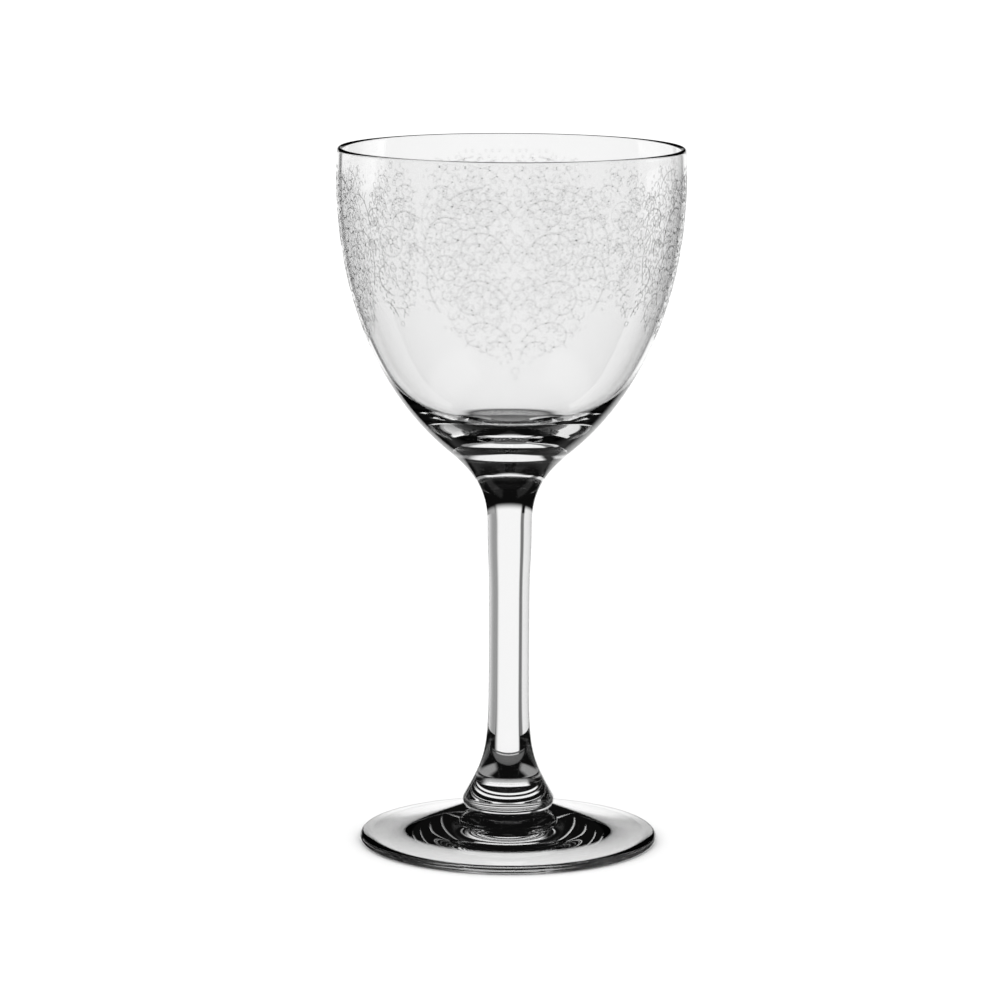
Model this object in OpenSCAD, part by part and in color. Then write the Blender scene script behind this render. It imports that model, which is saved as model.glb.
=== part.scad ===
// Nick and nora glass: a small stemmed glass whose deep bowl draws in a little at the rim.
// Three pieces of clear glass are fused end to end: a thin blown bowl, a solid stem that
// flares at both ends, and a pressed round foot that is hollowed slightly underneath.
// Lengths are in millimetres. +Z is up, and the origin is on the table, under the
// middle of the foot.

/* [Bowl] */
// Height of the bowl, from its joint with the stem to the top of the rim
bowl_h = 62.6; // [59:0.2:67]
// Outside radius at the rim
rim_r = 35.7; // [33:0.1:38.5]
// Thickness of the blown wall, which is also the width of the rounded rim
bowl_wall = 1.1; // [0.8:0.05:1.5]
// Thickness of the solid glass at the middle of the floor
floor_t = 5.2; // [4:0.1:6.5]
// Rise of the lower wall where it leaves the stem, in degrees above level
bowl_rise_angle = 39.5; // [37:0.5:42]
// Length over which the lower wall keeps that rise
bowl_rise_reach = 20.3; // [18:0.1:23]
// Inward lean of the upper wall at the rim, in degrees from upright
rim_lean_angle = 2.9; // [0:0.1:6]
// Length over which the upper wall keeps that lean
rim_lean_reach = 26.6; // [23:0.2:30]

/* [Stem] */
// Height of the stem, from its joint with the foot to its joint with the bowl
stem_h = 75; // [66:0.5:84]
// Radius of the joint between the stem and the bowl
bowl_joint_r = 12.7; // [11.2:0.1:14]
// Slope of the upper flare at the bowl, in degrees above level
top_flare_angle = 40.5; // [37:0.5:46]
// Length over which the upper flare keeps that slope
top_flare_reach = 6; // [4.5:0.1:7.5]
// Height of the upper flare, from the neck to the joint with the bowl
top_flare_h = 15.4; // [13:0.1:18]
// Radius of the neck under the upper flare
neck_r = 4.6; // [4.3:0.05:5.4]
// Length over which the stem thins from its neck to its waist
neck_taper_h = 16; // [10:0.5:20]
// Radius of the straight waist
waist_r = 4.2; // [3.6:0.05:4.3]
// Height of the lower flare, from the joint with the foot to the waist
low_flare_h = 32.5; // [28:0.5:34]
// Slope of the lower flare where it meets the shoulder, in degrees above level
low_flare_angle = 60.5; // [56:0.5:66]
// Length over which the lower flare keeps that slope
low_flare_reach = 10.3; // [8:0.1:12]
// Largest radius of the stem, at the shoulder over the foot
shoulder_r = 9.5; // [8.5:0.1:10.5]
// Radius of the rounding that turns the shoulder in to the joint with the foot
shoulder_round_r = 2; // [1.2:0.1:2.6]

/* [Foot] */
// Height of the foot, from the table to its joint with the stem
foot_h = 7.4; // [6.8:0.1:9]
// Radius of the foot
foot_r = 31; // [28:0.2:34]
// Thickness of the rounded edge of the foot
foot_edge_t = 1.8; // [1.4:0.1:2.4]
// Slope of the foot's top where it leaves the stem, in degrees
foot_top_angle = 20; // [17:0.5:23]
// Slope of the foot's top at the edge, in degrees
foot_edge_angle = 9; // [6:0.5:11]
// Width of the flat ring that the foot stands on
seat_w = 1.7; // [1:0.1:3]
// Rise of the hollow under the middle of the foot
hollow_h = 2.4; // [1.2:0.1:3.2]

/* [Hidden] */
$fn = 96;

// Clear soda-lime and crystalline glass, with a trace of grey
glass_colour = [0.88, 0.92, 0.93, 0.55];

// Pieces that the curves and arcs of an outline are cut into
long_curve_steps = 28;
short_curve_steps = 14;
small_arc_steps = 7;

// How far down the bowl's wall stays even before it thickens into the floor,
// as a share of the outer curve's parameter
even_wall_share = 0.4;
// The floor's handles, as shares of the bowl's joint radius
floor_side_share = 1.73;
floor_middle_share = 0.55;
// The waist's handle, as a share of the lower flare's height
waist_handle_share = 0.62;
// The neck's handle, as a share of the upper flare's height
neck_handle_share = 0.5;
// The taper's handles, as shares of its own height
taper_handle_share = 0.45;
// How far the shoulder turns in under itself before the joint, in degrees
shoulder_tuck_angle = 38;
// The foot's handles, as shares of the way from the stem to the foot's edge
foot_inner_share = 0.38;
foot_outer_share = 0.42;

// Places that the pieces share
foot_joint_z = foot_h;
bowl_joint_z = foot_h + stem_h;
foot_joint_r = shoulder_r - shoulder_round_r + shoulder_round_r * cos(shoulder_tuck_angle);

// Unit vectors in an outline's plane, at an angle from level
function out_up(angle) = [cos(angle), sin(angle)];
function out_down(angle) = [cos(angle), -sin(angle)];
function in_up(angle) = -out_down(angle);

// The point and the direction at share t along a cubic curve from a to d with handles b and c
function curve_point(a, b, c, d, t) =
    pow(1 - t, 3) * a + 3 * pow(1 - t, 2) * t * b + 3 * (1 - t) * pow(t, 2) * c + pow(t, 3) * d;
function curve_way(a, b, c, d, t) =
    let (way = pow(1 - t, 2) * (b - a) + 2 * (1 - t) * t * (c - b) + pow(t, 2) * (d - c))
    way / norm(way);

// The points of such a curve, and of an arc, without their first point
function curve_after_start(a, b, c, d, steps) =
    [for (i = [1 : steps]) curve_point(a, b, c, d, i / steps)];
function arc_after_start(centre, r, from_angle, to_angle, steps) =
    [for (i = [1 : steps]) centre + r * out_up(from_angle + (to_angle - from_angle) * i / steps)];

// The bowl's outline, counted up from its joint with the stem: the outer curve,
// the rounded rim, the even wall inside, and the thicker floor
lip_r = bowl_wall / 2;
lip_centre = [rim_r - lip_r * cos(rim_lean_angle), bowl_h - lip_r];
bowl_start = [bowl_joint_r, 0];
bowl_start_handle = bowl_start + bowl_rise_reach * out_up(bowl_rise_angle);
bowl_end = lip_centre + lip_r * out_up(rim_lean_angle);
bowl_end_handle = bowl_end - rim_lean_reach * in_up(90 - rim_lean_angle);
function bowl_outer(t) = curve_point(bowl_start, bowl_start_handle, bowl_end_handle, bowl_end, t);
function bowl_way(t) = curve_way(bowl_start, bowl_start_handle, bowl_end_handle, bowl_end, t);
function bowl_inner(t) =
    let (way = bowl_way(t))
    bowl_outer(t) + bowl_wall * [-way.y, way.x];
floor_start = bowl_inner(even_wall_share);
floor_side_handle = floor_start - floor_side_share * bowl_joint_r * bowl_way(even_wall_share);
floor_middle = [0, floor_t];
floor_middle_handle = [floor_middle_share * bowl_joint_r, floor_t];
bowl_outline = concat(
    [[0, 0], bowl_start],
    curve_after_start(bowl_start, bowl_start_handle, bowl_end_handle, bowl_end, long_curve_steps),
    arc_after_start(lip_centre, lip_r, rim_lean_angle, 90, small_arc_steps),
    arc_after_start(lip_centre, lip_r, 90, 180 + rim_lean_angle, small_arc_steps),
    [for (i = [1 : long_curve_steps]) bowl_inner(1 - (1 - even_wall_share) * i / long_curve_steps)],
    curve_after_start(floor_start, floor_side_handle, floor_middle_handle, floor_middle,
        short_curve_steps)
);

// The stem's outline, counted up from its joint with the foot: the rounded shoulder, the
// lower flare, the straight waist, the taper to the neck, and the upper flare
shoulder_centre = [shoulder_r - shoulder_round_r, shoulder_round_r * sin(shoulder_tuck_angle)];
low_flare_start = shoulder_centre + shoulder_round_r * out_up(90 - low_flare_angle);
low_flare_start_handle = low_flare_start + low_flare_reach * in_up(low_flare_angle);
low_flare_end = [waist_r, low_flare_h];
low_flare_end_handle = low_flare_end - [0, waist_handle_share * low_flare_h];
neck_z = stem_h - top_flare_h;
taper_start = [waist_r, neck_z - neck_taper_h];
taper_end = [neck_r, neck_z];
taper_handle = [0, taper_handle_share * neck_taper_h];
top_flare_start_handle = taper_end + [0, neck_handle_share * top_flare_h];
top_flare_end = [bowl_joint_r, stem_h];
top_flare_end_handle = top_flare_end - top_flare_reach * out_up(top_flare_angle);
stem_outline = concat(
    [[0, 0], [foot_joint_r, 0]],
    arc_after_start(shoulder_centre, shoulder_round_r, -shoulder_tuck_angle, 90 - low_flare_angle,
        small_arc_steps),
    curve_after_start(low_flare_start, low_flare_start_handle, low_flare_end_handle,
        low_flare_end, long_curve_steps),
    [taper_start],
    curve_after_start(taper_start, taper_start + taper_handle, taper_end - taper_handle,
        taper_end, short_curve_steps),
    curve_after_start(taper_end, top_flare_start_handle, top_flare_end_handle,
        top_flare_end, long_curve_steps),
    [[0, stem_h]]
);

// The foot's outline, counted up from the table: the sloping top, the rounded edge, the
// flat ring that it stands on, and the hollow, which is an arc through the ring's inner edge
foot_edge_r = foot_edge_t / 2;
foot_edge_centre = [foot_r - foot_edge_r, foot_edge_r];
foot_top_start = [foot_joint_r, foot_joint_z];
foot_top_end = foot_edge_centre + foot_edge_r * out_up(90 - foot_edge_angle);
foot_top_w = foot_top_end.x - foot_top_start.x;
foot_top_start_handle = foot_top_start + foot_inner_share * foot_top_w * out_down(foot_top_angle);
foot_top_end_handle = foot_top_end - foot_outer_share * foot_top_w * out_down(foot_edge_angle);
hollow_r = foot_edge_centre.x - seat_w;
hollow_arc_r = (pow(hollow_r, 2) + pow(hollow_h, 2)) / (2 * hollow_h);
hollow_arc_centre = [0, hollow_h - hollow_arc_r];
hollow_arc_angle = acos(hollow_r / hollow_arc_r);
foot_outline = concat(
    [[0, foot_joint_z], foot_top_start],
    curve_after_start(foot_top_start, foot_top_start_handle, foot_top_end_handle,
        foot_top_end, long_curve_steps),
    arc_after_start(foot_edge_centre, foot_edge_r, 90 - foot_edge_angle, -90, short_curve_steps),
    [[hollow_r, 0]],
    arc_after_start(hollow_arc_centre, hollow_arc_r, hollow_arc_angle, 90, short_curve_steps)
);

// Thin blown bowl with a fire-polished rim and a thick floor
module bowl() {
    color(glass_colour)
        translate([0, 0, bowl_joint_z])
            rotate_extrude()
                polygon(bowl_outline);
}

// Solid stem, flared into the bowl above and into a rounded shoulder over the foot below
module stem() {
    color(glass_colour)
        translate([0, 0, foot_joint_z])
            rotate_extrude()
                polygon(stem_outline);
}

// Pressed foot: a shallow cone with a rounded edge, on a flat ring round a shallow hollow
module foot() {
    color(glass_colour)
        rotate_extrude()
            polygon(foot_outline);
}

bowl();
stem();
foot();
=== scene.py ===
# %% [markdown]
# A nick and nora glass. It is a small cocktail glass of three fused pieces, a thin blown
# bowl, a solid stem and a pressed foot, and the bowl carries an etched ornament.
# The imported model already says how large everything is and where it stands, so the first
# step is to load it. Nothing below moves or resizes it: every new mesh is made around it.

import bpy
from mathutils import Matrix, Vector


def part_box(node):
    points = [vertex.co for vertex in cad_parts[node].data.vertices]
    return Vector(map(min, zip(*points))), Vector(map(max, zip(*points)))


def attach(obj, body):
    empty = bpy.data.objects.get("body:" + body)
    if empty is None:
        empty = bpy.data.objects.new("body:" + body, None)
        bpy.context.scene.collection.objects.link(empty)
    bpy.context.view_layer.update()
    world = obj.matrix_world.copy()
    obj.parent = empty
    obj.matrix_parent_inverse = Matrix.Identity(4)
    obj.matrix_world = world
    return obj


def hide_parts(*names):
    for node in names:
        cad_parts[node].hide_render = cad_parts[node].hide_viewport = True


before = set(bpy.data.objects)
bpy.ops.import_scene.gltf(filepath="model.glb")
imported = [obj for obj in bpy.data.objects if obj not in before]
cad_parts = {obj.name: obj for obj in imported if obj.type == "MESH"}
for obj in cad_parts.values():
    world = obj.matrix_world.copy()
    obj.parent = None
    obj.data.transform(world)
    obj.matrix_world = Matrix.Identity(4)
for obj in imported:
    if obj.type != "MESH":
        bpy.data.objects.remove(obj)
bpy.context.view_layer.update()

# %% [markdown]
# Two libraries do the modelling. bmesh builds and edits meshes, and mathutils holds vectors,
# matrices and a ready-made cubic curve. numpy only looks values up in tables. Real sizes are
# easiest to think of in millimetres, and Blender counts in metres, so one name, MM, turns the
# first into the second.

# %% Libraries and units
import math

import bmesh
import bpy
import numpy as np
from mathutils import Matrix, Vector
from mathutils.geometry import interpolate_bezier

MM = 0.001
scene = bpy.context.scene
print("Blender", bpy.app.version_string, "and one millimetre is", MM, "units")

# %% [markdown]
# Clear glass is the hardest finish to fake, because it shows nothing of its own: each pixel
# is a ray that has been bent at every surface on its way to the studio behind. The packed
# solids are cut into short straight cones, which is right for a drawing but would show as
# rings in the glass. So each piece is turned again here from the same sizes with a much
# finer outline. Where the frame gives a size, it is read from there.

# %% Sizes read from the frame
bowl_low, bowl_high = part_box("bowl")
stem_low, stem_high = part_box("stem")
_, foot_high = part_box("foot")

bowl_joint_z = bowl_low.z
foot_joint_z = stem_low.z
rim_z = bowl_high.z
bowl_joint_r = stem_high.x
foot_r = foot_high.x
bowl_h = rim_z - bowl_joint_z
stem_h = bowl_joint_z - foot_joint_z
print(f"bowl {bowl_h / MM:.1f} mm, stem {stem_h / MM:.1f} mm, foot radius {foot_r / MM:.1f} mm")

# %% [markdown]
# An outline is drawn in a flat plane, with the distance from the axis first and the height
# second. Each long curve is a cubic one: it leaves its first point at a known angle, keeps
# that direction for its reach, and arrives at its last point in the same manner. Blender
# has the cubic curve built in, and only an arc and unit vectors at an angle are missing.

# %% Helpers for outlines
CURVE_STEPS = 110
SHORT_STEPS = 56
ARC_STEPS = 14


def up(angle):
    """The unit vector at an angle above level."""
    return Vector((math.cos(angle), math.sin(angle)))


def down(angle):
    """The unit vector at an angle below level."""
    return Vector((math.cos(angle), -math.sin(angle)))


def curve(start, handle, end_handle, end, steps):
    """The points after the first along a cubic curve."""
    return interpolate_bezier(start, handle, end_handle, end, steps + 1)[1:]


def arc(centre, radius, first, last, steps):
    """The points after the first along an arc between two angles."""
    return [centre + radius * up(first + (last - first) * i / steps) for i in range(1, steps + 1)]


print("steps of a long curve, a short curve and an arc:", CURVE_STEPS, SHORT_STEPS, ARC_STEPS)

# %% [markdown]
# The bowl's wall is blown to an even 1.1 mm down to its lower third. From there it thickens
# steadily into the solid floor, because the hot glass gathers there. That wedge is what
# bends the light, and it gives the glass its dark crescents, so it is worth getting right.
# The frame can't say which curve a wall follows, so those sizes are named once more.

# %% Sizes of the bowl
rim_r = 35.7 * MM
bowl_wall = 1.1 * MM
floor_t = 5.2 * MM
bowl_rise_angle = math.radians(39.5)
bowl_rise_reach = 20.3 * MM
rim_lean_angle = math.radians(2.9)
rim_lean_reach = 26.6 * MM
even_wall_share = 0.4
floor_side_share = 1.73
floor_middle_share = 0.55
print(f"wall {bowl_wall / MM:.1f} mm, floor {floor_t / MM:.1f} mm thick")

# %% [markdown]
# A Solidify modifier could give the wall its thickness, but it would know nothing of the
# thick floor. So the inside is part of the outline. It lies one wall away from the outer
# curve, square to it, and for that the curve is also needed as two functions, which give
# the point and the direction of travel at any share of the way up.

# %% The bowl's outline
quarter = math.pi / 2
lip_r = bowl_wall / 2
lip_centre = Vector((rim_r - lip_r * math.cos(rim_lean_angle), rim_z - lip_r))
wall_start = Vector((bowl_joint_r, bowl_joint_z))
wall_start_handle = wall_start + bowl_rise_reach * up(bowl_rise_angle)
wall_end = lip_centre + lip_r * up(rim_lean_angle)
wall_end_handle = wall_end + rim_lean_reach * down(quarter - rim_lean_angle)
wall_knots = (wall_start, wall_start_handle, wall_end_handle, wall_end)


def wall_point(share):
    """The point at a share of the way up the bowl's outer curve."""
    a, b, c, d = wall_knots
    rest = 1 - share
    return rest**3 * a + 3 * rest**2 * share * b + 3 * rest * share**2 * c + share**3 * d


def wall_way(share):
    """The unit direction of travel there."""
    a, b, c, d = wall_knots
    rest = 1 - share
    return (rest**2 * (b - a) + 2 * rest * share * (c - b) + share**2 * (d - c)).normalized()


def inside_point(share):
    """The point across the even wall."""
    way = wall_way(share)
    return wall_point(share) + bowl_wall * Vector((-way.y, way.x))


even_share = 1 - even_wall_share
floor_start = inside_point(even_wall_share)
floor_handle = floor_start - floor_side_share * bowl_joint_r * wall_way(even_wall_share)
floor_middle = Vector((0, bowl_joint_z + floor_t))
floor_middle_handle = floor_middle + Vector((floor_middle_share * bowl_joint_r, 0))
bowl_outline = [
    Vector((0, bowl_joint_z)),
    wall_start,
    *curve(*wall_knots, CURVE_STEPS),
    *arc(lip_centre, lip_r, rim_lean_angle, math.pi + rim_lean_angle, 2 * ARC_STEPS),
    *[inside_point(1 - even_share * i / CURVE_STEPS) for i in range(1, CURVE_STEPS + 1)],
    *curve(floor_start, floor_handle, floor_middle_handle, floor_middle, SHORT_STEPS),
]
print("bowl outline:", len(bowl_outline), "points")

# %% [markdown]
# The stem is drawn out of a solid gather. From the foot up it has a rounded shoulder, a
# long flare, a straight waist, a slight taper to the neck, and a short wide flare that
# carries the bowl.

# %% Sizes of the stem
top_flare_angle = math.radians(40.5)
top_flare_reach = 6 * MM
top_flare_h = 15.4 * MM
neck_r = 4.6 * MM
neck_taper_h = 16 * MM
waist_r = 4.2 * MM
low_flare_h = 32.5 * MM
low_flare_angle = math.radians(60.5)
low_flare_reach = 10.3 * MM
waist_handle_share = 0.62
neck_handle_share = 0.5
taper_handle_share = 0.45
shoulder_r = 9.5 * MM
shoulder_round_r = 2 * MM
shoulder_tuck_angle = math.radians(38)
print(f"neck radius {neck_r / MM:.1f} mm, waist radius {waist_r / MM:.1f} mm")

# %% [markdown]
# The outline is walked from the foot up. Each flare is one cubic curve that ends upright,
# the lower at the waist and the upper at the neck, and the lower one leaves the shoulder's
# arc in the arc's own direction. So nothing in the stem has a kink until it meets the bowl.

# %% The stem's outline
shoulder_centre = Vector((
    shoulder_r - shoulder_round_r,
    foot_joint_z + shoulder_round_r * math.sin(shoulder_tuck_angle),
))
foot_joint_r = shoulder_centre.x + shoulder_round_r * math.cos(shoulder_tuck_angle)
flare_start = shoulder_centre + shoulder_round_r * up(quarter - low_flare_angle)
flare_start_handle = flare_start - low_flare_reach * down(low_flare_angle)
waist_start = Vector((waist_r, foot_joint_z + low_flare_h))
waist_start_handle = waist_start - Vector((0, waist_handle_share * low_flare_h))
neck = Vector((neck_r, bowl_joint_z - top_flare_h))
waist_end = Vector((waist_r, neck.y - neck_taper_h))
taper_handle = Vector((0, taper_handle_share * neck_taper_h))
neck_handle = neck + Vector((0, neck_handle_share * top_flare_h))
flare_end_handle = wall_start - top_flare_reach * up(top_flare_angle)
stem_outline = [
    Vector((0, foot_joint_z)),
    Vector((foot_joint_r, foot_joint_z)),
    *arc(shoulder_centre, shoulder_round_r, -shoulder_tuck_angle, quarter - low_flare_angle, ARC_STEPS),
    *curve(flare_start, flare_start_handle, waist_start_handle, waist_start, CURVE_STEPS),
    waist_end,
    *curve(waist_end, waist_end + taper_handle, neck - taper_handle, neck, SHORT_STEPS),
    *curve(neck, neck_handle, flare_end_handle, wall_start, CURVE_STEPS),
    Vector((0, bowl_joint_z)),
]
print("stem outline:", len(stem_outline), "points")

# %% [markdown]
# The foot was pressed while soft, so its top falls in one easy slope to a rounded edge. It
# stands on a narrow flat ring. Inside the ring the glass is hollowed by an arc, which keeps
# the glass from rocking and is what makes the middle of the foot look dark.

# %% Sizes of the foot
foot_edge_t = 1.8 * MM
foot_top_angle = math.radians(20)
foot_edge_angle = math.radians(9)
foot_inner_share = 0.38
foot_outer_share = 0.42
seat_w = 1.7 * MM
hollow_h = 2.4 * MM
print(f"edge {foot_edge_t / MM:.1f} mm thick, hollow {hollow_h / MM:.1f} mm deep")

# %% [markdown]
# The hollow's arc goes through the inner edge of the ring and through the hollow's highest
# point on the axis. Those two points settle its radius, so it needs no size of its own.

# %% The foot's outline
edge_r = foot_edge_t / 2
edge_centre = Vector((foot_r - edge_r, edge_r))
slope_start = Vector((foot_joint_r, foot_joint_z))
slope_end = edge_centre + edge_r * up(quarter - foot_edge_angle)
slope_w = slope_end.x - slope_start.x
slope_start_handle = slope_start + foot_inner_share * slope_w * down(foot_top_angle)
slope_end_handle = slope_end - foot_outer_share * slope_w * down(foot_edge_angle)
hollow_r = edge_centre.x - seat_w
hollow_arc_r = (hollow_r**2 + hollow_h**2) / (2 * hollow_h)
hollow_centre = Vector((0, hollow_h - hollow_arc_r))
hollow_angle = math.acos(hollow_r / hollow_arc_r)
foot_outline = [
    Vector((0, foot_joint_z)),
    slope_start,
    *curve(slope_start, slope_start_handle, slope_end_handle, slope_end, CURVE_STEPS),
    *arc(edge_centre, edge_r, quarter - foot_edge_angle, -quarter, 2 * ARC_STEPS),
    Vector((hollow_r, 0)),
    *arc(hollow_centre, hollow_arc_r, hollow_angle, quarter, SHORT_STEPS),
]
print("foot outline:", len(foot_outline), "points")

# %% [markdown]
# A material starts from what the real one is. This glass is clear soda-lime crystal, which
# bends light with an index of about 1.52 and is fire-polished, so it has no roughness at
# all. Colours are given as the screen shows them, in hex, and one function turns them to
# the linear values that a renderer counts in. Another small function adds any node.

# %% Helpers for materials
def linear(hex_colour):
    """A hex colour, as a screen shows it, in linear values with full alpha."""
    channels = [int(hex_colour[i:i + 2], 16) / 255 for i in (1, 3, 5)]
    return [c / 12.92 if c <= 0.04045 else ((c + 0.055) / 1.055) ** 2.4 for c in channels] + [1]


def add_node(tree, kind, settings=None, inputs=None):
    """A new node with its settings. An input is a value, or the socket that feeds it."""
    node = tree.nodes.new(kind)
    for name, value in (settings or {}).items():
        setattr(node, name, value)
    for name, value in (inputs or {}).items():
        if isinstance(value, bpy.types.NodeSocket):
            tree.links.new(value, node.inputs[name])
        else:
            node.inputs[name].default_value = value
    return node


def new_material(name):
    """An empty material, ready for nodes, and its node tree."""
    material = bpy.data.materials.new(name)
    material.use_nodes = True
    material.node_tree.nodes.clear()
    return material, material.node_tree


print("a screen's mid grey is", round(linear("#808080")[0], 3), "of white in linear light")

# %% [markdown]
# Blown glass is never quite even. Its skin has slow waves, far too shallow to feel, that
# make the light streaks in it wander a little. A bump node with a soft noise gives them:
# the waves are about 14 mm long and a few thousandths of a millimetre high. The faces where
# two pieces meet are another matter. The real pieces are fused, so light crosses there as
# if nothing were in its way, and those faces get a material with no alpha.

# %% Clear crystal glass and the fused joint
GLASS_IOR = 1.52
WAVE_LENGTH = 14 * MM
WAVE_HEIGHT = 0.004 * MM

glass, tree = new_material("clear_crystal_glass")
place = add_node(tree, "ShaderNodeTexCoord")
waves = add_node(tree, "ShaderNodeTexNoise", inputs={
    "Vector": place.outputs["Object"], "Scale": 1 / WAVE_LENGTH, "Detail": 1.0, "Roughness": 0.4,
})
skin = add_node(tree, "ShaderNodeBump", inputs={
    "Height": waves.outputs["Fac"], "Distance": WAVE_HEIGHT, "Strength": 1.0,
})
shader = add_node(tree, "ShaderNodeBsdfPrincipled", inputs={
    "Base Color": linear("#FFFFFF"), "Transmission Weight": 1.0, "IOR": GLASS_IOR,
    "Roughness": 0.0, "Normal": skin.outputs["Normal"],
})
add_node(tree, "ShaderNodeOutputMaterial", inputs={"Surface": shader.outputs["BSDF"]})

fused, tree = new_material("fused_glass_joint")
shader = add_node(tree, "ShaderNodeBsdfPrincipled", inputs={
    "Base Color": linear("#FFFFFF"), "Alpha": 0.0,
})
add_node(tree, "ShaderNodeOutputMaterial", inputs={"Surface": shader.outputs["BSDF"]})
print("materials:", glass.name, fused.name)

# %% [markdown]
# Turning works as on a glass lathe. The outline is laid in the mesh as a chain of points,
# and the spin operator carries it once round the axis. Points on the axis come out as many
# copies of one, so those doubles are merged, and the normals are then made to face outwards.
# An edge sharper than 35 degrees stays crisp, and the rest is shaded smooth. A Screw
# modifier would turn it too, but here the faces of the joints can be picked out at once.

# %% Turn the three glass pieces
WIDE_TURNS = 160
STEM_TURNS = 128
CRISP_ANGLE = math.radians(35)
MERGE_DISTANCE = 0.0005 * MM
JOINT_ZS = (bowl_joint_z, foot_joint_z)


def turn(name, outline, turns):
    """A closed mesh object, turned from an outline that starts and ends on the axis."""
    bm = bmesh.new()
    chain = [bm.verts.new((p.x, 0, p.y)) for p in outline]
    edges = [bm.edges.new(pair) for pair in zip(chain, chain[1:])]
    bmesh.ops.spin(bm, geom=chain + edges, cent=(0, 0, 0), axis=(0, 0, 1), dvec=(0, 0, 0),
                   angle=2 * math.pi, steps=turns, use_merge=True, use_duplicate=False)
    on_axis = [v for v in bm.verts if v.co.xy.length < MERGE_DISTANCE]
    bmesh.ops.remove_doubles(bm, verts=on_axis, dist=MERGE_DISTANCE)
    bmesh.ops.recalc_face_normals(bm, faces=bm.faces)
    for face in bm.faces:
        middle_z = face.calc_center_median().z
        face.material_index = 1 if min(abs(middle_z - z) for z in JOINT_ZS) < MERGE_DISTANCE else 0
        face.smooth = True
    for edge in bm.edges:
        edge.smooth = edge.calc_face_angle(0) < CRISP_ANGLE
    mesh = bpy.data.meshes.new(name)
    volume = bm.calc_volume(signed=True)
    bm.to_mesh(mesh)
    bm.free()
    mesh.materials.append(glass)
    mesh.materials.append(fused)
    piece = bpy.data.objects.new(name, mesh)
    scene.collection.objects.link(piece)
    print(f"{name}: {len(mesh.polygons)} faces, {volume / MM**3:.0f} cubic mm")
    return piece


glass_bowl = turn("glass_bowl", bowl_outline, WIDE_TURNS)
glass_stem = turn("glass_stem", stem_outline, STEM_TURNS)
glass_foot = turn("glass_foot", foot_outline, WIDE_TURNS)

# %% [markdown]
# Each new piece rides on the body that it moves with, which is the only one here. The
# imported solid that it stands for is then hidden.

# %% Each piece rides on the model and stands for its node
for piece, node in ((glass_bowl, "bowl"), (glass_stem, "stem"), (glass_foot, "foot")):
    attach(piece, "root")
    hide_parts(node)
    print(piece.name, "stands for", node)

# %% [markdown]
# Acid leaves the etched lines satin. The glass itself stays clear and bends light as before,
# but its skin is finely pitted, so light leaves it a little spread. That is a roughness,
# with a fine grain in it. Roughness alone hardly shows against a bright window. What draws
# the lines is their slope, which sends the eye a little aside: past the window's edge at
# the sides of the bowl, where they look strong, and still into it in the middle.

# %% Etched, frosted glass
GRAIN = 0.2 * MM
SMOOTHEST = 0.06
ROUGHEST = 0.2

frost, tree = new_material("etched_frosted_glass")
place = add_node(tree, "ShaderNodeTexCoord")
grain = add_node(tree, "ShaderNodeTexNoise", inputs={
    "Vector": place.outputs["Object"], "Scale": 1 / GRAIN, "Detail": 2.0,
})
satin = add_node(tree, "ShaderNodeMapRange", inputs={
    "Value": grain.outputs["Fac"], "To Min": SMOOTHEST, "To Max": ROUGHEST,
})
shader = add_node(tree, "ShaderNodeBsdfPrincipled", inputs={
    "Base Color": linear("#FFFFFF"), "Transmission Weight": 1.0, "IOR": GLASS_IOR,
    "Roughness": satin.outputs["Result"],
})
add_node(tree, "ShaderNodeOutputMaterial", inputs={"Surface": shader.outputs["BSDF"]})
print("material:", frost.name, "with grain of", round(GRAIN / MM, 2), "mm")

# %% [markdown]
# The bowl wears a lace of fine lines. On glasses like this one a pantograph scratches the
# drawing through a coat of wax, and acid then etches the lines. A bump in the material
# would be quicker, but real slopes bend the light from every side as the etched ones do.
# The drawing is built from the oldest ornament there is: scrolls that sprout smaller
# scrolls. A scroll is walked one short step at a time, and its heading turns faster or
# slower as it goes. The drawing is made flat, in millimetres, with 0 at the top of a
# motif's axis. Only the right half is drawn, because the left half mirrors it, and rings on
# the axis are drawn whole.

# %% Walk a scroll
STROKE_STEP = 0.3
FEWEST_STEPS = 3


def scroll(start, heading, length, first_bend, last_bend):
    """Points of a scroll. The heading is in degrees, and a bend in degrees per millimetre."""
    count = max(FEWEST_STEPS, round(length / STROKE_STEP))
    step = length / count
    points = [Vector(start)]
    for i in range(count):
        heading += step * (first_bend + (last_bend - first_bend) * (i + 0.5) / count)
        points.append(points[-1] + step * up(math.radians(heading)))
    return points


def ring(centre, radius, count):
    """The points of a closed ring."""
    return [Vector(centre) + radius * up(2 * math.pi * i / count) for i in range(count)]


print("a scroll of 12 mm has", len(scroll((0, 0), 0, 12, 0, 30)), "points")

# %% [markdown]
# Etched lines must not run into each other, or they blur into a patch. So every point that
# a line has passed is noted in a grid of small cells, and a new line asks for room at each
# step. It also stops at the edge of its motif, which is a table of depths and half widths.

# %% Keep the lines apart
CELL = 0.6


def note(points, taken):
    """Note the points of a line in the cells that they lie in."""
    for p in points:
        taken.setdefault((math.floor(p.x / CELL), math.floor(p.y / CELL)), []).append(p)


def has_room(point, room, taken):
    """Whether no noted point lies nearer than the room asked for."""
    column, row = math.floor(point.x / CELL), math.floor(point.y / CELL)
    reach = math.ceil(room / CELL)
    span = range(-reach, reach + 1)
    near = (p for i in span for j in span for p in taken.get((column + i, row + j), ()))
    return all((point - p).length >= room for p in near)


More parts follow.
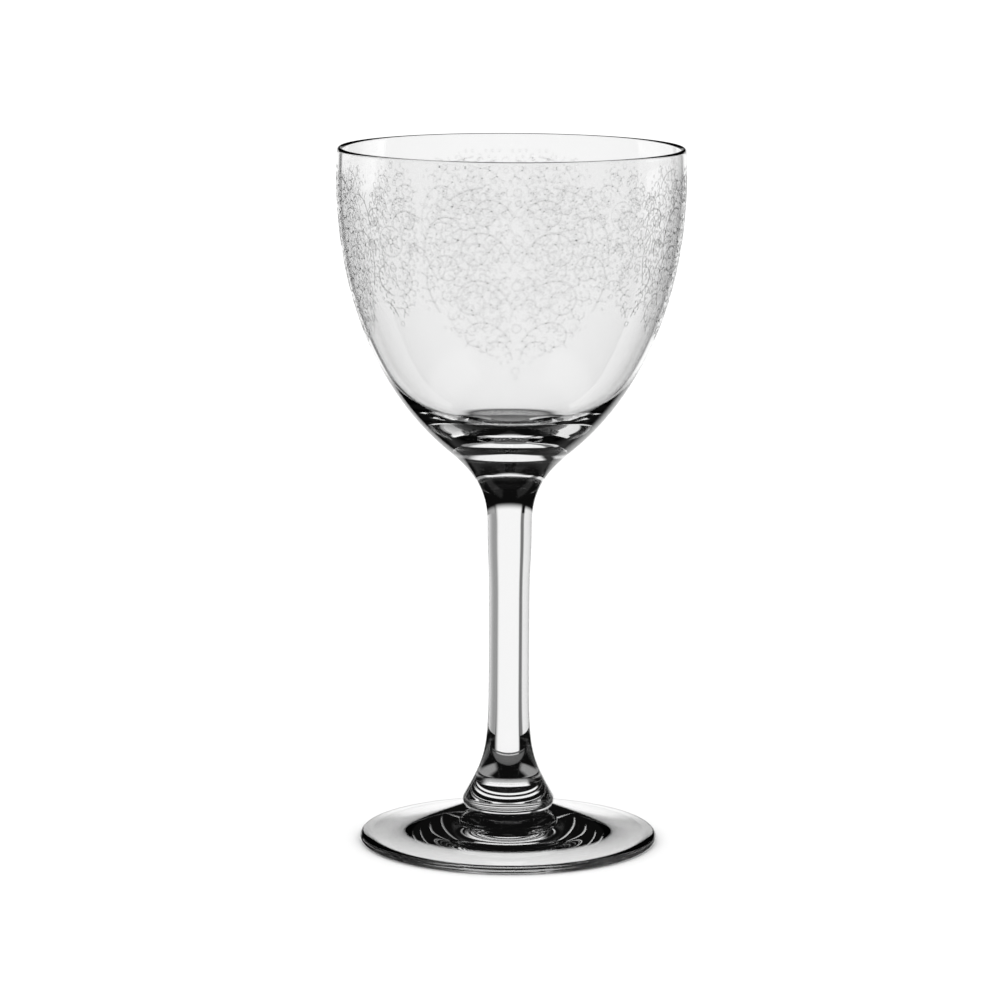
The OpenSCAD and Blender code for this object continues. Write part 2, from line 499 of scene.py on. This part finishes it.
def is_inside(point, edge):
    """Whether a point lies inside a motif's edge."""
    depths, half_widths = zip(*edge)
    depth = -point.y
    return depths[0] <= depth <= depths[-1] and point.x <= np.interp(depth, depths, half_widths)


print("lines are noted in cells of", CELL, "mm")

# %% [markdown]
# The scrolls grow in three rounds, as a vine does. The thick ones come first. Each sprouts
# side scrolls to both sides, and those sprout small curls. A round has the width of its
# lines, the room that they ask for, the first steps that they take without asking, and the
# angle at which their side scrolls lean away. All lengths here are in millimetres.

# %% Sprout side scrolls
ROUNDS = (
    {"width": 0.5, "room": 0.9, "skip": 0, "lean": 46},
    {"width": 0.4, "room": 0.8, "skip": 6, "lean": 52},
    {"width": 0.34, "room": 0.6, "skip": 5, "lean": 0},
)
CLOSEST_SPROUTS = 2
BARE_TIP = 3
SIDE_TURN = 205
FIRST_BEND_SHARE = 0.2
LAST_BEND_SHARE = 1.8
INNER_SHARE = 0.8
CHILD_GAP_SHARE = 0.62
CHILD_LENGTH_SHARE = 0.4


def sprouts(body, bends, gap, side_length, level):
    """The side scrolls of a line, which lean away from it, one step apart on its two sides."""
    outer = 1 if bends[1] < 0 else -1
    every = max(CLOSEST_SPROUTS, round(gap / STROKE_STEP))
    for i in range(every, len(body) - BARE_TIP, every):
        way = body[i] - body[i - 1]
        heading = math.degrees(math.atan2(way.y, way.x))
        sides = ((body[i], outer, side_length), (body[i - 1], -outer, INNER_SHARE * side_length))
        for start, turn_way, length in sides:
            curl = turn_way * SIDE_TURN / length
            side_heading = heading + ROUNDS[level]["lean"] * turn_way
            side_bends = (FIRST_BEND_SHARE * curl, LAST_BEND_SHARE * curl)
            yield (start, side_heading, length, side_bends, CHILD_GAP_SHARE * gap,
                   CHILD_LENGTH_SHARE * side_length, level + 1)


print("rounds of growth:", len(ROUNDS), "with lines of", [rule["width"] for rule in ROUNDS], "mm")

# %% [markdown]
# Growing is a queue. The line that has waited longest is walked next, and what sprouts from
# it goes to the end, so the thick lines of a motif are all laid before the first thin one.
# A line that finds no room stops early, and this is what fills the lace so evenly.

# %% Grow scrolls from scrolls
SHORTEST = 5


def grow(vines, edge, taken):
    """The lines of some vines and all that sprouts from them, as (points, width, closed)."""
    lines = []
    waiting = [(*vine, 0) for vine in vines]
    while waiting:
        start, heading, length, bends, gap, side_length, level = waiting.pop(0)
        rule = ROUNDS[level]
        body = []
        for i, p in enumerate(scroll(start, heading, length, *bends)):
            fits = is_inside(p, edge) and p.x > rule["room"] / 2 and has_room(p, rule["room"], taken)
            if i >= rule["skip"] and not fits:
                break
            body.append(p)
        if len(body) >= SHORTEST:
            note(body, taken)
            lines.append((body, rule["width"], False))
            if level + 1 < len(ROUNDS):
                waiting.extend(sprouts(body, bends, gap, side_length, level))
    return lines


print("a line is kept from", SHORTEST, "points up")

# %% [markdown]
# What stays open between the lines is seeded with tiny rings, wherever a line is close. The
# rings stand on a triangular grid, because that is the closest even packing.

# %% Seed the open places with rings
SEED_PITCH = 1.45
SEED_RADIUS = 0.27
SEED_SIDES = 6
SEED_WIDTH = 0.26
SEED_ROOM = 0.74
SEED_REACH = 1.7
SEED_COLUMNS = 16


def seeds(edge, taken):
    """Small rings on a triangular grid, near a line but clear of it."""
    row_pitch = SEED_PITCH * math.sin(math.radians(60))
    spots = [
        Vector(((column + 0.5 * (row % 2)) * SEED_PITCH, -row * row_pitch))
        for row in range(int(edge[-1][0] / row_pitch)) for column in range(SEED_COLUMNS)
    ]
    open_spots = [
        p for p in spots
        if p.x > SEED_ROOM and is_inside(p, edge)
        and has_room(p, SEED_ROOM, taken) and not has_room(p, SEED_REACH, taken)
    ]
    return [(ring(p, SEED_RADIUS, SEED_SIDES), SEED_WIDTH, True) for p in open_spots]


print("seeds stand", SEED_PITCH, "mm apart")

# %% [markdown]
# Two motifs take turns round the bowl: a large pendant that hangs from the rim like a leaf,
# and a slim sprig round a medallion with a six-petalled flower. Each is a short list of
# vines, of rings on the axis, and the edge that they fill. A vine is given by its start, its
# heading, its length, its first and last bend, and the gap and length of its side scrolls.
# A ring is given by its middle and its radius, and an edge by depths and half widths.

# %% The lists of the pendant and the sprig
PENDANT_EDGE = ((0, 10), (3, 19), (24, 20), (30, 15.5), (34, 10), (37, 5), (38.8, 1.8), (40.2, 0.9))
PENDANT_VINES = (
    ((0.8, -37), 86, 11, (-4, -44), 1.8, 2.6),
    ((0.8, -33.2), 58, 22, (-1, -36), 2.4, 4.4),
    ((0.8, -26), 70, 31, (-3, -28), 2.6, 5.2),
    ((0.8, -16.5), 74, 30, (-3, -31), 2.6, 5.2),
    ((0.8, -7), 62, 22, (-5, -40), 2.2, 3.8),
    ((10.5, -32.5), 46, 20, (-3, 42), 2.4, 4.6),
    ((15.6, -27), 58, 28, (-1, 33), 2.6, 5.0),
    ((19.2, -17), 88, 25, (-1, 33), 2.6, 5.0),
    ((7, -1.2), -10, 20, (0, -26), 2.4, 4.0),
)
PENDANT_RINGS = ((-2.2, 0.8), (-4.3, 0.5), (-11.6, 1.0), (-14, 0.5), (-21, 1.0), (-23.4, 0.5),
                 (-30, 0.9), (-39.7, 0.8), (-41.4, 0.4))
SPRIG_EDGE = ((1.0, 1.5), (3, 5.0), (6, 6.8), (17, 7.0), (22, 6.2), (27.5, 3.8), (29.5, 1.2))
SPRIG_VINES = (
    ((0.8, -28.8), 76, 10, (-4, -58), 1.6, 2.2),
    ((0.8, -24.2), 8, 15, (8, 40), 1.8, 2.6),
    ((0.8, -8.9), 60, 13, (-6, -50), 1.7, 2.4),
    ((0.7, -6.6), 86, 8, (-8, -70), 1.6, 2.0),
    ((5.0, -16.4), 100, 7, (10, -96), 1.6, 2.0),
)
FLOWER_Y = -13
HEART_R = 0.6
SPRIG_RINGS = ((FLOWER_Y, 3.1), (FLOWER_Y, HEART_R), (-18.4, 0.8), (-20.7, 0.5), (-30.2, 0.5),
               (-2.4, 0.5))
print("vines in half a pendant:", len(PENDANT_VINES), "and in half a sprig:", len(SPRIG_VINES))

# %% [markdown]
# A petal is two bent lines. They leave the flower's round heart at one place, lean apart,
# and bend back to each other at the tip. The two petals on the axis are cut there, and
# their mirror images complete them.

# %% The petals of the flower
PETAL_COUNT = 6
PETAL_WIDTH = 0.3
PETAL_LENGTH = 2.1
PETAL_LEAN = 34
PETAL_BEND = 30


def petals():
    """The petals of the flower that stand on its right half, two bent lines each."""
    lines = []
    for k in range(PETAL_COUNT // 2 + 1):
        way = 90 - 360 / PETAL_COUNT * k
        start = Vector((0, FLOWER_Y)) + HEART_R * up(math.radians(way))
        for side in (1, -1):
            bend = -side * PETAL_BEND
            walked = scroll(start, way + side * PETAL_LEAN, PETAL_LENGTH, bend, bend)
            line = [p for p in walked if p.x >= 0]
            if len(line) >= FEWEST_STEPS:
                lines.append((line, PETAL_WIDTH, False))
    return lines


print("lines in half a flower:", len(petals()))

# %% [markdown]
# A motif is drawn in the order in which its parts need their places. The flower and the
# rings stand where they must, the vines grow round them, and the seeds take what is left.

# %% Draw the pendant and the sprig
RING_WIDTH = 0.36
FEWEST_SIDES = 8


def motif(vines, rings, edge, flower=()):
    """All lines of a motif's right half, and its rings on the axis."""
    taken = {}
    lines = list(flower)
    for centre_y, radius in rings:
        sides = max(FEWEST_SIDES, round(2 * math.pi * radius / STROKE_STEP))
        lines.append((ring((0, centre_y), radius, sides), RING_WIDTH, True))
    for points, _, _ in lines:
        note(points, taken)
    lines += grow(vines, edge, taken)
    return lines + seeds(edge, taken)


pendant = motif(PENDANT_VINES, PENDANT_RINGS, PENDANT_EDGE)
sprig = motif(SPRIG_VINES, SPRIG_RINGS, SPRIG_EDGE, petals())
print("lines in half a pendant:", len(pendant), "and in half a sprig:", len(sprig))

# %% [markdown]
# The flat drawing has to find its place on the curved wall. The way down the drawing
# becomes the way down the wall, measured along its outline from the rim, and the way across
# becomes an angle round the axis. Height over the drawing becomes height over the glass,
# but much less of it: a ridge stands a few hundredths of a millimetre proud.

# %% From the drawing to the wall
LACE_DROP = 3.2 * MM
RIDGE_SHARE = 0.17
LACE_LIFT = 0.005 * MM
WALL_STEPS = 400

wall_shares = [1 - i / WALL_STEPS for i in range(WALL_STEPS + 1)]
wall_places = [wall_point(share) for share in wall_shares]
wall_depths = np.cumsum([0] + [(b - a).length for a, b in zip(wall_places, wall_places[1:])])


def on_wall(flat, middle_angle):
    """The place on the bowl of a point of the flat drawing, whose z is the ridge's height."""
    share = float(np.interp(LACE_DROP - flat.y, wall_depths, wall_shares))
    way = wall_way(share)
    proud = LACE_LIFT + RIDGE_SHARE * max(flat.z, 0)
    place = wall_point(share) + proud * Vector((way.y, -way.x))
    angle = middle_angle + flat.x / place.x
    return Vector((place.x * math.sin(angle), -place.x * math.cos(angle), place.y))


print(f"the wall is {wall_depths[-1] / MM:.1f} mm long from its rim to its joint")

# %% [markdown]
# A curve object turns each line into a thin tube with four sides and closed ends. Pushing
# the lower half of the tube flat leaves a low ridge like a roof. Its faces are shaded flat,
# because smooth shading would bend light as if the roof were a thick round bead. One motif
# is laid on the wall, and the spin operator then carries copies of it round the bowl.

# %% Lay the lace on the wall
LACE_TURN = math.radians(2)
LACE_COUNT = 4


def lay_lace(name, lines, middle_angle):
    """A motif's lines and their mirror images as ridges on the wall, repeated round it."""
    drawing = bpy.data.curves.new(name, "CURVE")
    drawing.dimensions = "3D"
    drawing.twist_mode = "Z_UP"
    drawing.bevel_depth = MM
    drawing.bevel_resolution = 0
    drawing.use_fill_caps = True
    for points, width, closed in lines:
        crosses_axis = min(p.x for p in points) < 0
        for side in (1,) if crosses_axis else (1, -1):
            spline = drawing.splines.new("POLY")
            spline.points.add(len(points) - 1)
            spline.use_cyclic_u = closed
            for spot, p in zip(spline.points, points):
                spot.co = (side * p.x * MM, p.y * MM, 0, 1)
                spot.radius = width / 2
    flat_object = bpy.data.objects.new(name + "_drawing", drawing)
    bm = bmesh.new()
    bm.from_mesh(bpy.data.meshes.new_from_object(flat_object))
    bpy.data.objects.remove(flat_object)
    bmesh.ops.remove_doubles(bm, verts=bm.verts, dist=MERGE_DISTANCE)
    bmesh.ops.recalc_face_normals(bm, faces=bm.faces)
    for v in bm.verts:
        v.co = on_wall(v.co, middle_angle)
    for face in bm.faces:
        face.smooth = False
    copies = LACE_COUNT - 1
    sweep = 2 * math.pi * copies / LACE_COUNT
    bmesh.ops.spin(bm, geom=bm.verts[:] + bm.edges[:] + bm.faces[:], cent=(0, 0, 0), axis=(0, 0, 1),
                   dvec=(0, 0, 0), angle=sweep, steps=copies, use_duplicate=True)
    mesh = bpy.data.meshes.new(name)
    bm.to_mesh(mesh)
    bm.free()
    mesh.materials.append(frost)
    piece = bpy.data.objects.new(name, mesh)
    scene.collection.objects.link(piece)
    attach(piece, "root")
    print(f"{name}: {len(mesh.polygons)} faces")


lay_lace("etched_pendants", pendant, LACE_TURN)
lay_lace("etched_sprigs", sprig, LACE_TURN + math.pi / LACE_COUNT)

# %% [markdown]
# The camera stands where the photographer's did: 886 mm in front of the glass and 221 mm
# above the table, looking down by nine and a half degrees through a long lens. It also
# turns by a small fraction of a degree and leans by another, as the hand-held one did.

# %% Camera
CAMERA_DISTANCE = 885.9 * MM
CAMERA_HEIGHT = 220.6 * MM
CAMERA_PITCH = math.radians(9.533)
CAMERA_YAW = math.radians(0.125)
CAMERA_ROLL = math.radians(0.29)
IMAGE_SIDE = 1001
FOCAL_PIXELS = 4340.6
SENSOR_WIDTH = 36
NEAREST = 0.01
FARTHEST = 100

camera_data = bpy.data.cameras.new("camera")
camera_data.sensor_width = SENSOR_WIDTH
camera_data.lens = SENSOR_WIDTH * FOCAL_PIXELS / IMAGE_SIDE
camera_data.clip_start = NEAREST
camera_data.clip_end = FARTHEST
camera = bpy.data.objects.new("camera", camera_data)
scene.collection.objects.link(camera)
turned = (
    Matrix.Rotation(CAMERA_YAW, 4, "Z")
    @ Matrix.Rotation(quarter - CAMERA_PITCH, 4, "X")
    @ Matrix.Rotation(CAMERA_ROLL, 4, "Z")
)
camera.matrix_world = Matrix.Translation((0, -CAMERA_DISTANCE, CAMERA_HEIGHT)) @ turned
scene.camera = camera
print(f"lens {camera_data.lens:.1f} mm")

# %% [markdown]
# Floor and background are one plain white. The world lights them evenly, a little above
# full white, so only the soft shadow close to the foot shows on the floor. The tabletop is
# matt white card, which has no sheen and mirrors nothing. It keeps out of refractions and
# reflections: what the glass shows comes from the light tent, which is made next.

# %% Floor and world
WORLD_STRENGTH = 1.3
FLOOR_RADIUS = 3.0
FLOOR_SIDES = 96

white, tree = new_material("pale_tabletop")
shader = add_node(tree, "ShaderNodeBsdfPrincipled", inputs={
    "Base Color": linear("#F2F2F2"), "Roughness": 0.9, "Specular IOR Level": 0.0,
})
add_node(tree, "ShaderNodeOutputMaterial", inputs={"Surface": shader.outputs["BSDF"]})

bm = bmesh.new()
bmesh.ops.create_circle(bm, cap_ends=True, segments=FLOOR_SIDES, radius=FLOOR_RADIUS)
floor_mesh = bpy.data.meshes.new("floor")
bm.to_mesh(floor_mesh)
bm.free()
floor_mesh.materials.append(white)
floor = bpy.data.objects.new("floor", floor_mesh)
scene.collection.objects.link(floor)
floor.visible_transmission = False
floor.visible_glossy = False

world = bpy.data.worlds.new("studio")
world.use_nodes = True
background = world.node_tree.nodes["Background"]
background.inputs["Color"].default_value = linear("#FFFFFF")
background.inputs["Strength"].default_value = WORLD_STRENGTH
scene.world = world
scene.view_settings.view_transform = "Standard"
print("floor:", floor.name, "world strength:", WORLD_STRENGTH)

# %% [markdown]
# Glass is photographed against the light. A bright window stands behind it, nearly all else
# is dark, and each edge then draws itself as a dark line on white. The tent is a large ball
# round the glass, painted inside by two angles: how far a ray looks to the side, and how
# high. Two panes make the window, with one sharp side and one soft one. The next three are
# dim and stand for the table under the glass and to both sides of it. The last two carry
# the lit table, which is made further down, up to the window's height. Each pane is given
# by its sides, their softness, its heights, their softness and its brightness. Only rays
# that the glass has bent or mirrored see the tent.

# %% The light tent's pattern
TENT_DARK = 0.004
WINDOWS = (
    ((-21.5, 10), 2.5, (-40, 4), 4, 1.0),
    ((-10, 26), 6, (-40, 4), 4, 1.0),
    ((-40, 40), 6, (-90, -40), 4, 0.17),
    ((-140, -60), 8, (-60, -46), 3, 0.3),
    ((60, 140), 8, (-60, -46), 3, 0.3),
    ((-80, -30), 2.5, (-5, 4), 3, 0.9),
    ((28, 80), 4, (-5, 4), 3, 0.4),
)


def looks(tree):
    """How far a point lies to the side of an object's middle, and how high, as two angles."""
    place = add_node(tree, "ShaderNodeTexCoord").outputs["Object"]
    direction = add_node(tree, "ShaderNodeVectorMath", {"operation": "NORMALIZE"}, {0: place})
    parts = add_node(tree, "ShaderNodeSeparateXYZ", inputs={"Vector": direction.outputs["Vector"]})
    side = add_node(tree, "ShaderNodeMath", {"operation": "ARCTAN2"},
                    {0: parts.outputs["X"], 1: parts.outputs["Y"]})
    height = add_node(tree, "ShaderNodeMath", {"operation": "ARCSINE"}, {0: parts.outputs["Z"]})
    return side.outputs["Value"], height.outputs["Value"]


def kept_between(tree, light, angle, ends, softness):
    """The light between two angles, which fades away at its soft ends."""
    for end, before, after in zip(ends, (0.0, 1.0), (1.0, 0.0)):
        share = add_node(tree, "ShaderNodeMapRange", {"interpolation_type": "SMOOTHSTEP"}, {
            "Value": angle, "To Min": before, "To Max": after,
            "From Min": math.radians(end - softness), "From Max": math.radians(end + softness),
        })
        kept = add_node(tree, "ShaderNodeMath", {"operation": "MULTIPLY"},
                        {0: light, 1: share.outputs["Result"]})
        light = kept.outputs["Value"]
    return light


tent_cloth, tree = new_material("light_tent")
side, height = looks(tree)
light = TENT_DARK
for sides, soft_side, heights, soft_height, level in WINDOWS:
    pane = kept_between(tree, level, side, sides, soft_side)
    pane = kept_between(tree, pane, height, heights, soft_height)
    brighter = add_node(tree, "ShaderNodeMath", {"operation": "MAXIMUM"}, {0: light, 1: pane})
    light = brighter.outputs["Value"]
glow = add_node(tree, "ShaderNodeEmission", inputs={"Color": linear("#FFFFFF"), "Strength": light})
add_node(tree, "ShaderNodeOutputMaterial", inputs={"Surface": glow.outputs["Emission"]})
print("panes:", len(WINDOWS), "tent nodes:", len(tree.nodes))

# %% [markdown]
# The tent hangs on the camera, so that the glass has the light behind it from every side,
# as when it turns on a stand. It stays hidden from the camera itself and throws no shadow,
# and the floor gets its light from the world alone.

# %% Hang the tent on the camera
TENT_RADIUS = 3.0
TENT_SUBDIVISIONS = 5


def hang(name, bm, material, middle_z, mirrored):
    """A glowing stage object that only bent light can see, or mirrored light as well."""
    mesh = bpy.data.meshes.new(name)
    bm.to_mesh(mesh)
    bm.free()
    mesh.materials.append(material)
    thing = bpy.data.objects.new(name, mesh)
    scene.collection.objects.link(thing)
    thing.location = (0, 0, middle_z)
    thing.visible_camera = False
    thing.visible_glossy = mirrored
    thing.visible_diffuse = False
    thing.visible_shadow = False
    thing.visible_volume_scatter = False
    bpy.context.view_layer.update()
    place = thing.matrix_world.copy()
    thing.parent = camera
    thing.matrix_world = place
    print(f"{name}: {len(mesh.polygons)} faces")


bm = bmesh.new()
bmesh.ops.create_icosphere(bm, subdivisions=TENT_SUBDIVISIONS, radius=TENT_RADIUS)
hang("light_tent", bm, tent_cloth, rim_z / 2, mirrored=True)

# %% [markdown]
# The stem is a thick lens, so its sides look far to the left and right, and down to the
# white table there. Two flat arcs that glow stand for it. They leave out the middle, where
# the foot would show them. Each arc is given by its first and last angle, the angle of one
# soft step in its light with the step's softness, and its brightness on both sides of it.
# They hang on the camera too, and only rays that the glass has bent see them.

# %% Light the table at both sides
TABLE_INNER_R = 60 * MM
TABLE_OUTER_R = 2700 * MM
TABLE_ARCS = (
    ("left", -80, -22, -29.5, 2.5, 0.9, 0.2),
    ("right", 27.5, 80, 56, 22, 0.34, 1.2),
)
ARC_FACES = 24

for arm, first, last, step, softness, before, after in TABLE_ARCS:
    cloth, tree = new_material("lit_table_" + arm)
    side, _ = looks(tree)
    light = add_node(tree, "ShaderNodeMapRange", {"interpolation_type": "SMOOTHSTEP"}, {
        "Value": side, "To Min": before, "To Max": after,
        "From Min": math.radians(step - softness), "From Max": math.radians(step + softness),
    })
    glow = add_node(tree, "ShaderNodeEmission", inputs={
        "Color": linear("#FFFFFF"), "Strength": light.outputs["Result"],
    })
    add_node(tree, "ShaderNodeOutputMaterial", inputs={"Surface": glow.outputs["Emission"]})
    bm = bmesh.new()
    toward = Vector((math.sin(math.radians(first)), math.cos(math.radians(first)), 0))
    inner = bm.verts.new(TABLE_INNER_R * toward)
    outer = bm.verts.new(TABLE_OUTER_R * toward)
    end = bm.edges.new((inner, outer))
    bmesh.ops.spin(bm, geom=[inner, outer, end], cent=(0, 0, 0), axis=(0, 0, 1), dvec=(0, 0, 0),
                   angle=-math.radians(last - first), steps=ARC_FACES, use_duplicate=False)
    hang("lit_table_" + arm, bm, cloth, 0, mirrored=False)

# %% [markdown]
# Light goes through a dozen glass surfaces or more here before it reaches the tent, so the
# renderer is allowed twice as many bounces.

# %% Light paths
MOST_BOUNCES = 24
MOST_REFLECTIONS = 12

scene.cycles.max_bounces = MOST_BOUNCES
scene.cycles.transmission_bounces = MOST_BOUNCES
scene.cycles.transparent_max_bounces = MOST_BOUNCES
scene.cycles.glossy_bounces = MOST_REFLECTIONS
print("bounces:", scene.cycles.max_bounces)
